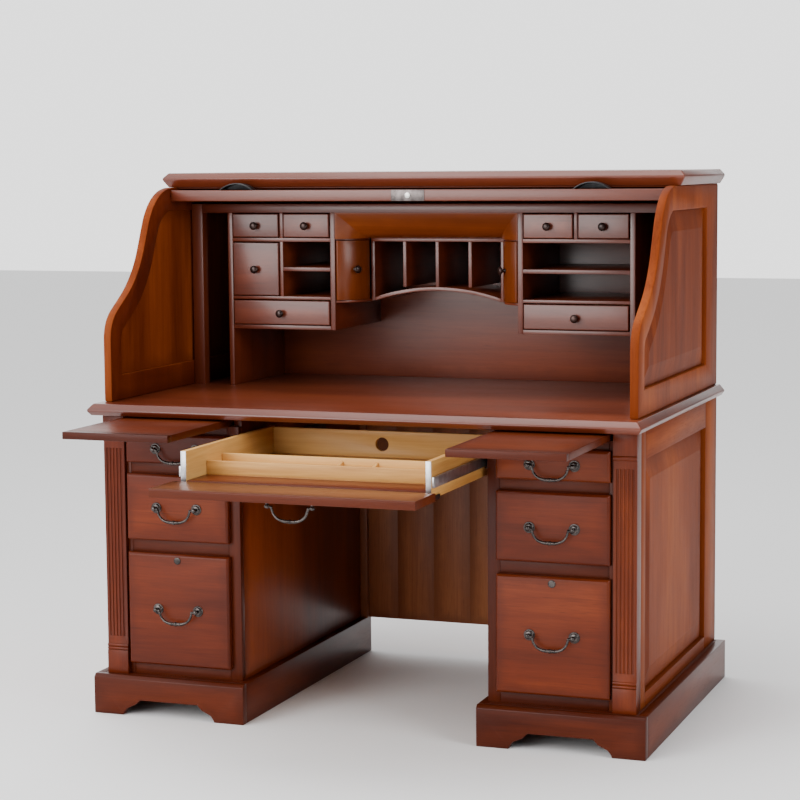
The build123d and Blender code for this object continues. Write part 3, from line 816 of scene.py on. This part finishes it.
def buildCase():
    for node, (wood, axis) in caseNodes.items():
        slot = "maple" if wood == "maple" else "cherry_light" if wood == "amber" else "cherry"
        width = edgeWidths.get(node, edgeWidths["usual"])
        shaping = {"reshape": slopeUpperPanels, "shade": 7} if node == "raised_panels" else {}
        piece = boardPiece(node, "desk", slot, plainChoice(wood, axis), width, **shaping)[0]
        if node.endswith("hutch_side"):
            # the face towards the gallery keeps the red of the fronts, without the side tone's painted
            # light
            inwards = 1 if node.startswith("left") else -1
            repaint(piece, woods["red"], lambda face: face.normal.x * inwards > 0.9)
    for node in ("desktop", "top_board"):
        boardPiece(node, "desk", "cherry", plainChoice("sheen", 0), edgeWidths["tops"], 4)
    boardPiece("keyboard_slides_outer", "desk", "black_steel", plainChoice("black_steel"), 0.0004)
    print("case built")


def buildPedestalDrawers():
    for side in ("left", "right"):
        for kind in ("file", "middle", "top"):
            node = f"{side}_{kind}_drawer"
            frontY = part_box(node)[0].y + drawerBoards["pedestalFront"]
            fittings = boardPiece(node, node, "cherry", drawerGrain(frontY), 0.002, 3)[1]
            addFittings(node, node, fittings, (0, -1, 0))
            addPull(node + "_pull", node + "_pull")
        slide = f"{side}_writing_slide"
        boardPiece(slide, slide, "cherry", plainChoice("deep", 0), 0.0016, 3)
    print("pedestal drawers built")


keyboardTray = {
    "front": -0.5,         # boards and faces ahead of this show when the drawer is out
    "railTop": 0.6368,
    "plateInner": 0.283,
    "plateFoot": 0.625,
}


def trayGrain(low, high):
    redRail = high.z < keyboardTray["railTop"] and low.y < keyboardTray["front"]
    return None, ("red" if redRail else "maple")


def onEndPlate(face):
    # the front ends of the drawer's sides carry bright plates
    ahead = face.normal.y < -0.9 and face.center.y < keyboardTray["front"]
    outside = abs(face.center.x) > keyboardTray["plateInner"]
    return ahead and outside and face.center.z > keyboardTray["plateFoot"]


def buildKeyboardDrawer():
    piece = boardPiece("keyboard_drawer", "keyboard_drawer", "maple", trayGrain, 0.0012)[0]
    repaint(piece, metals["bright_steel"], onEndPlate)
    boardPiece("pencil_tray", "keyboard_drawer", "maple", plainChoice("maple"), 0.0014, 3)
    boardPiece("keyboard_slides_inner", "keyboard_drawer", "black_steel",
               plainChoice("bright_steel"), 0.0005)
    boardPiece("drop_front_hinges", "keyboard_drawer", "black_steel",
               plainChoice("black_steel"), 0.0003)
    piece, fittings = boardPiece("drop_front", "drop_front", "cherry", plainChoice("deep", 0), 0.0014, 3)
    # the folding front's upward face takes a lighter, more orange tone
    repaint(piece, woods["stain"], lambda face: face.normal.z > 0.9)
    addFittings("drop_front", "drop_front", fittings, (0, 0, -1))
    addPull("drop_front_pull", "drop_front_pull")
    print("keyboard drawer built")


doorKnob = {"turn": 55, "sink": 0.009}


def buildGallery():
    nodes = [f"{side}_{kind}_drawer" for side in ("left", "right")
             for kind in ("outer_small", "inner_small", "wide")] + ["left_tall_drawer"]
    for node in nodes:
        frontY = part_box(node)[0].y + drawerBoards["galleryFront"]
        fittings = boardPiece(node, node, "cherry", drawerGrain(frontY, "sheen"), 0.0014)[1]
        addFittings(node, node, fittings, (0, -1, 0), "knob")
    for side, s in (("left", -1), ("right", 1)):
        node = f"{side}_curved_door"
        fittings = boardPiece(node, node, "cherry", plainChoice("amber", 2), 0.0008)[1]
        low, high = fittings[0]
        turned = radians(-doorKnob["turn"] * s)
        direction = Vector((sin(turned), -cos(turned), 0))
        seat = (low + high) / 2 - direction * doorKnob["sink"]
        grip = placed(patterns["knob"], node + "_knob", Matrix.Translation(seat) @ facing(direction))
        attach(grip, node)
    print("gallery built")


def lockGrain(low, high):
    # the plate is wider than the cylinder
    return None, ("pewter" if high.x - low.x > 0.05 else "nickel")


def buildTambour():
    boardPiece("lift_rail", "tambour_rail", "cherry", plainChoice("sheen", 0), 0.0022, 3)
    boardPiece("rail_lock", "tambour_rail", "nickel", lockGrain, 0.0004, keep=True)
    boardPiece("cup_pulls", "tambour_rail", "dark_bronze", plainChoice("black_steel"), 0.0008, keep=True)
    for number in (1, 2, 3):
        node = f"tambour_slat_{number}"
        boardPiece(node, node, "cherry", plainChoice("red", 0), 0.0008)
    boardPiece("tambour_stored_slats", "tambour_stored_slats", "cherry", plainChoice("red", 0), 0.0008)
    print("tambour built")


addCamera()
addFloor()
addLights()
buildCase()
buildPedestalDrawers()
buildKeyboardDrawer()
buildGallery()
buildTambour()
discard(*patterns.values())
